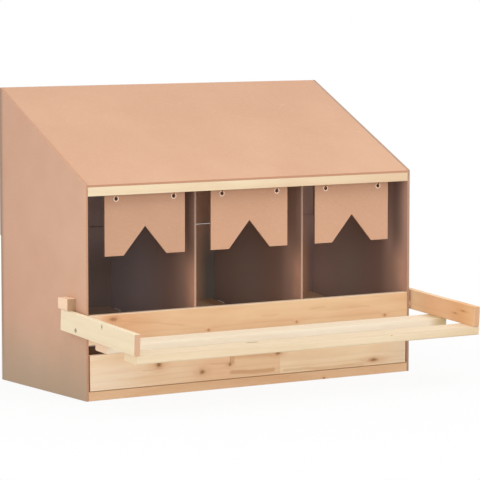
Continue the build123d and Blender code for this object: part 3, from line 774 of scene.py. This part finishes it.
def growFittings(name, tree, places, sizes, body, replaced=None, sharpDegrees=35):
    carrier = bpy.data.meshes.new(name + "_points")
    carrier.from_pydata([tuple(place) for place in places], [], [])
    piece = bpy.data.objects.new(name, carrier)
    scene.collection.objects.link(piece)
    grow = piece.modifiers.new("grow", "NODES")
    grow.node_group = tree
    for item in tree.interface.items_tree:
        if item.in_out == "INPUT" and item.name in sizes:
            grow[item.identifier] = sizes[item.name]
    plainCopy(piece)
    piece.data.shade_smooth()
    piece.data.set_sharp_from_angle(angle=math.radians(sharpDegrees))
    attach(piece, body)
    if replaced:
        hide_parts(replaced)
    print("grown:", name, len(piece.data.polygons), "faces")


# Wire hooks: a shank in the rail, a corner, a drop and a half turn under the eyelet

hookSizes = {
    "Wire": 0.95, "Bend": 5.0, "Corner": 4.0, "Drop": 8.8, "Shank": 18.0, "Facing": (0.0, 0.0, 1.0),
}


def hookTree():
    graph, given = fittingTree("wire_hook", hookSizes)
    bend, corner, drop, shank = [given[label] for label in ("Bend", "Corner", "Drop", "Shank")]
    cornerRun = graph.times(corner, math.pi / 2)
    bendRun = graph.times(bend, math.pi)
    fall = graph.minus(drop, corner)
    fallStart = graph.plus(shank, cornerRun)
    bendStart = graph.plus(fallStart, fall)
    total = graph.plus(bendStart, bendRun)
    line = graph.add("GeometryNodeCurvePrimitiveLine", {"End": graph.join(total)}).outputs[0]
    dense = graph.add("GeometryNodeResampleCurve", {0: line, "Count": roundness["hookPath"]}).outputs[0]
    run = graph.add("GeometryNodeSplineParameter").outputs["Length"]

    def part(start, length):  # how much of this part of the wire lies behind a point
        since = graph.calc("MAXIMUM", graph.minus(run, start), 0.0)
        return graph.calc("MINIMUM", since, length)

    cornerAngle = graph.calc("DIVIDE", part(shank, cornerRun), corner)
    bendAngle = graph.calc("DIVIDE", part(bendStart, bendRun), bend)

    def dip(angle, radius):  # how far an arc has left its starting line
        return graph.times(graph.minus(graph.calc("COSINE", angle), 1.0), radius)

    y = graph.minus(graph.minus(bend, corner), shank)
    y = graph.plus(y, part(0.0, shank))
    y = graph.calc("MULTIPLY_ADD", graph.calc("SINE", cornerAngle), corner, y)
    y = graph.plus(y, dip(bendAngle, bend))
    z = graph.plus(drop, dip(cornerAngle, corner))
    z = graph.minus(z, part(fallStart, fall))
    z = graph.minus(z, graph.times(graph.calc("SINE", bendAngle), bend))
    path = graph.add("GeometryNodeSetPosition", {0: dense, "Position": graph.join(0.0, y, z)}).outputs[0]
    section = circle(graph, given["Wire"], roundness["wire"])
    tipStart = graph.minus(total, given["Wire"])
    tip = graph.ease(run, tipStart, total, 1.0, 0.5)  # the cut end is rounded to half the width
    inputs = {"Curve": path, "Profile Curve": section, "Scale": tip, "Fill Caps": True}
    wire = graph.add("GeometryNodeCurveToMesh", inputs).outputs[0]
    return closeTree(graph, given, wire, hookSteel)


flapNames = ("left", "middle", "right")
eyeletFlange = 5.5 * mm
eyeletSpots, hookSpots = {}, []
for name in flapNames:
    low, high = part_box("flap_eyelets_" + name)
    hang = jointAt["flap_" + name + "_swing"]
    places = [low.x + eyeletFlange, high.x - eyeletFlange]
    eyeletSpots[name] = [(x, hang.y, (low.z + high.z) / 2) for x in places]
    hookSpots += [(x, hang.y, hang.z) for x in places]
growFittings("wire_hooks", hookTree(), hookSpots, hookSizes, "carcass", "flap_hooks")


# Rolled eyelets: a tube through the flap with a rounded lip on each face

eyeletSizes = {
    "Tube": 3.9, "Wall": 0.7, "Sheet": 3.0, "Lip": 4.63, "Lip width": 0.87, "Lip height": 0.5,
    "Facing": (0.0, -1.0, 0.0),
}


def eyeletTree():
    graph, given = fittingTree("rolled_eyelet", eyeletSizes)
    tubePath = circle(graph, given["Tube"], roundness["eyelet"])
    inputs = {"Width": given["Wall"], "Height": given["Sheet"]}
    wall = graph.add("GeometryNodeCurvePrimitiveQuadrilateral", inputs).outputs[0]
    tube = graph.add("GeometryNodeCurveToMesh", {"Curve": tubePath, "Profile Curve": wall}).outputs[0]
    lipPath = circle(graph, given["Lip"], roundness["eyelet"])
    bead = circle(graph, 1.0, roundness["bead"])
    flat = graph.join(given["Lip width"], given["Lip height"], 1.0)
    bead = graph.add("GeometryNodeTransform", {0: bead, "Scale": flat}).outputs[0]
    lip = graph.add("GeometryNodeCurveToMesh", {"Curve": lipPath, "Profile Curve": bead}).outputs[0]
    face = graph.times(given["Sheet"], 0.5)
    lips = [lifted(graph, lip, face), lifted(graph, lip, graph.times(face, -1.0))]
    whole = graph.add("GeometryNodeJoinGeometry", {0: [tube, *lips]}).outputs[0]
    return closeTree(graph, given, whole, eyeletMetal)


eyelets = eyeletTree()
for name in flapNames:
    growFittings("rolled_eyelets_" + name, eyelets, eyeletSpots[name], eyeletSizes, "flap_" + name,
                 "flap_eyelets_" + name, sharpDegrees=50)


# Screws with a domed head and a cross recess

pivotSizes = {
    "Head": 3.75, "Height": 3.4, "Recess": 2.3, "Slot": 0.8, "Deep": 1.5, "Shank": 2.5, "Length": 48.4,
    "Point": 5.0, "Tip": 0.6, "Facing": (1.0, 0.0, 0.0),
}
dome = {"crown": 0.72, "round": -0.48, "taper": -0.28}  # crown as a share of the head, and its rounding


def screwTree():
    graph, given = fittingTree("cross_screw", pivotSizes)
    head, height, shank, length = [given[label] for label in ("Head", "Height", "Shank", "Length")]
    crown = graph.times(head, dome["crown"])
    cap = cone(graph, head, crown, height, roundness["screwHead"], roundness["domeRows"])
    x, y, z = graph.split(graph.add("GeometryNodeInputPosition").outputs[0])[:3]
    rise = graph.calc("DIVIDE", z, height)
    bulge = graph.calc("MULTIPLY_ADD", graph.times(rise, rise), dome["round"], 1.0)
    bulge = graph.calc("SQRT", bulge)
    bulge = graph.calc("DIVIDE", bulge, graph.calc("MULTIPLY_ADD", rise, dome["taper"], 1.0))
    spot = graph.join(graph.times(x, bulge), graph.times(y, bulge), z)
    cap = graph.add("GeometryNodeSetPosition", {0: cap, "Position": spot}).outputs[0]
    slotLength = graph.times(given["Recess"], 2.0)
    slotDepth = graph.times(given["Deep"], 2.0)
    bars = []
    for size in ((slotLength, given["Slot"]), (given["Slot"], slotLength)):
        bar = graph.add("GeometryNodeMeshCube", {"Size": graph.join(*size, slotDepth)}).outputs[0]
        bars.append(lifted(graph, bar, height))
    inputs = {0: cap, 1: bars}
    cap = graph.add("GeometryNodeMeshBoolean", inputs, operation="DIFFERENCE", solver="EXACT").outputs[0]
    down = graph.times(length, -1.0)
    rod = lifted(graph, cone(graph, shank, shank, length, roundness["shank"]), down)
    point = cone(graph, given["Tip"], shank, given["Point"], roundness["shank"])
    point = lifted(graph, point, graph.minus(down, given["Point"]))
    whole = graph.add("GeometryNodeJoinGeometry", {0: [cap, rod, point]}).outputs[0]
    return closeTree(graph, given, whole, screwZinc)


screws = screwTree()
pivotLow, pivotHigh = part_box("perch_pivot_screws")
pivot = jointAt["perch_fold"]
headHeight = pivotSizes["Height"] * mm
pivotEnds = (("left", pivotLow.x + headHeight, -1.0), ("right", pivotHigh.x - headHeight, 1.0))
for name, x, outward in pivotEnds:
    sizes = {**pivotSizes, "Facing": (outward, 0.0, 0.0)}
    growFittings("pivot_screw_" + name, screws, [(x, pivot.y, pivot.z)], sizes, "carcass",
                 "perch_pivot_screws")

# the rails are screwed to the arms from below, two screws at each crossing
railScrews = {
    "Head": 3.0, "Height": 1.7, "Recess": 1.8, "Slot": 0.7, "Deep": 0.9, "Shank": 1.6, "Length": 28.0,
    "Point": 4.0, "Tip": 0.4, "Facing": (0.0, math.sin(perchTurn), -math.cos(perchTurn)),
}
railUnder = {  # counted from the pivot line
    "x": (-357.5, 361), "offsets": (-192.5, -170.5, -93, -71), "below": -22.9,
}
railSpots = []
for x in railUnder["x"]:
    for offset in railUnder["offsets"]:
        spot = Matrix.Rotation(perchTurn, 3, "X") @ Vector((0, offset * mm, railUnder["below"] * mm))
        railSpots.append((x * mm, pivot.y + spot.y, pivot.z + spot.z))
growFittings("perch_rail_screws", screws, railSpots, railScrews, "perch")


# Brads that hold the rear wall: small flat heads

bradSizes = {"Head": 1.7, "Crown": 1.4, "Height": 0.6, "Facing": (0.0, 1.0, 0.0)}
bradSunk = 0.57  # only a trace of the head stands proud
bradRows = {
    "rear_upper_panel": {"x": (-347.5, -231, -115.7, 0, 115.7, 231, 347.5), "z": (530,), "face": 162.0},
    "rear_upper_panel.sides": {"x": (-347.5, 347.5), "z": (285, 346, 407, 468), "face": 162.0},
    "rear_upper_panel.dividers": {"x": (-115.7, 115.7), "z": (300, 375, 450), "face": 162.0},
    "rear_lower_panel": {"x": (-115.7, 115.7), "z": (95, 170, 245), "face": 159.0},
}


def bradTree():
    graph, given = fittingTree("flat_brad", bradSizes)
    head = cone(graph, given["Head"], given["Crown"], given["Height"], roundness["brad"])
    return closeTree(graph, given, head, bradSteel)


bradSpots = []
for row in bradRows.values():
    seat = (row["face"] - bradSunk) * mm
    bradSpots += [(x * mm, seat, z * mm) for x in row["x"] for z in row["z"]]
growFittings("rear_brads", bradTree(), bradSpots, bradSizes, "carcass")


# Fibres that the saw left standing along the lower edge of the vent slot

fibreSizes = {"Root": 0.45, "Tip": 0.25, "Tall": 0.9, "Least": 0.65, "Facing": (0.0, 0.0, 1.0)}
ventEdge = {"x": (-113.0, 113.0), "apart": 0.5, "y": 157.6, "z": 267.6, "seed": 4}


def fibreTree():
    graph, given = fittingTree("sawn_fibre", fibreSizes)
    fibre = cone(graph, given["Root"], given["Tip"], given["Tall"], roundness["fibre"])
    chance = graph.add("FunctionNodeRandomValue", data_type="FLOAT")
    graph.plug(given["Least"], chance.inputs[2])
    chance.inputs["Seed"].default_value = ventEdge["seed"]
    rise = graph.times(chance.outputs[1], mm)
    return closeTree(graph, given, fibre, materials["rear_lower_panel"], graph.join(mm, mm, rise))


ventStart, ventEnd = ventEdge["x"]
fibreCount = int((ventEnd - ventStart) / ventEdge["apart"])
fibreSpots = [((ventStart + number * ventEdge["apart"]) * mm, ventEdge["y"] * mm, ventEdge["z"] * mm)
              for number in range(fibreCount)]
growFittings("vent_fibres", fibreTree(), fibreSpots, fibreSizes, "carcass")

dress(nodes["perch_pivot_spacers"], spacerPlastic)


# Floor, light and camera

stageLook = {
    "size": 12.0, "drop": 0.5 * mm, "paper": tone(226, 225, 224), "rough": 0.9, "shadowShare": 0.10,
    "fade": (0.5, 1.1), "worldLight": 0.85,
}


def seenRay(graph):
    # 1 for rays that show the background: straight to the camera, in gloss or through glass
    ray = graph.add("ShaderNodeLightPath").outputs
    glossy = graph.calc("MAXIMUM", ray["Is Glossy Ray"], ray["Is Transmission Ray"])
    return graph.calc("MAXIMUM", ray["Is Camera Ray"], glossy)


def paperFloor():
    bpy.ops.mesh.primitive_plane_add(size=stageLook["size"], location=(0, 0, -stageLook["drop"]))
    floor = bpy.context.object
    floor.name = "paper_floor"
    material, graph, shader = newMaterial("paper")
    shader.inputs["Base Color"].default_value = stageLook["paper"]
    shader.inputs["Roughness"].default_value = stageLook["rough"]
    place = graph.add("ShaderNodeTexCoord").outputs["Object"]
    far = graph.add("ShaderNodeVectorMath", {0: place}, operation="LENGTH").outputs[1]
    shadow = graph.ease(far, *stageLook["fade"], stageLook["shadowShare"], 0.0)
    glow = graph.add("ShaderNodeEmission", {"Color": (1, 1, 1, 1), "Strength": 1.0})
    share = graph.times(seenRay(graph), graph.minus(1.0, shadow))
    mix = graph.add("ShaderNodeMixShader", {0: share, 1: shader.outputs[0], 2: glow.outputs[0]})
    out = next(node for node in graph.tree.nodes if node.type == "OUTPUT_MATERIAL")
    graph.plug(mix.outputs[0], out.inputs["Surface"])
    dress(floor, material)


def whiteWorld():
    world = bpy.data.worlds.new("white_room")
    world.use_nodes = True
    scene.world = world
    graph = Graph(world.node_tree)
    back = next(node for node in world.node_tree.nodes if node.type == "BACKGROUND")
    back.inputs["Color"].default_value = (1, 1, 1, 1)
    strength = graph.ease(seenRay(graph), 0.0, 1.0, stageLook["worldLight"], 1.0)
    graph.plug(strength, back.inputs["Strength"])


lampLooks = {
    "topLamp": {"place": (0.2, -1.9, 3.3), "aim": (0, -0.1, 0.2), "size": 3.0, "power": 55},
    "frontLamp": {"place": (-1.4, -4.6, 1.0), "aim": (0, 0, 0.2), "size": 2.0, "power": 35},
    "sideLamp": {"place": (-4.6, -0.6, 1.8), "aim": (0, 0, 0.25), "size": 3.4, "power": 35},
}


def addLamp(name, look):
    lamp = bpy.data.lights.new(name, "AREA")
    lamp.size = look["size"]
    lamp.energy = look["power"]
    holder = bpy.data.objects.new(name, lamp)
    holder.location = look["place"]
    sight = Vector(look["aim"]) - Vector(look["place"])
    holder.rotation_euler = sight.to_track_quat("-Z", "Y").to_euler()
    scene.collection.objects.link(holder)


cameraLook = {
    "place": (-2.6577, -4.2586, 0.7369), "tilt": 5.49, "swing": 32.66, "lens": 202.65, "sensor": 36.0,
    "clip": (0.1, 50),
}


def addCamera():
    lens = bpy.data.cameras.new("photo_camera")
    lens.lens = cameraLook["lens"]
    lens.sensor_width = cameraLook["sensor"]
    lens.clip_start, lens.clip_end = cameraLook["clip"]
    holder = bpy.data.objects.new("photo_camera", lens)
    holder.location = cameraLook["place"]
    holder.rotation_euler = (math.radians(90 - cameraLook["tilt"]), 0, -math.radians(cameraLook["swing"]))
    scene.collection.objects.link(holder)
    scene.camera = holder


paperFloor()
whiteWorld()
for name, look in lampLooks.items():
    addLamp(name, look)
addCamera()
scene.view_settings.view_transform = "Standard"
print("stage, lamps and camera ready")
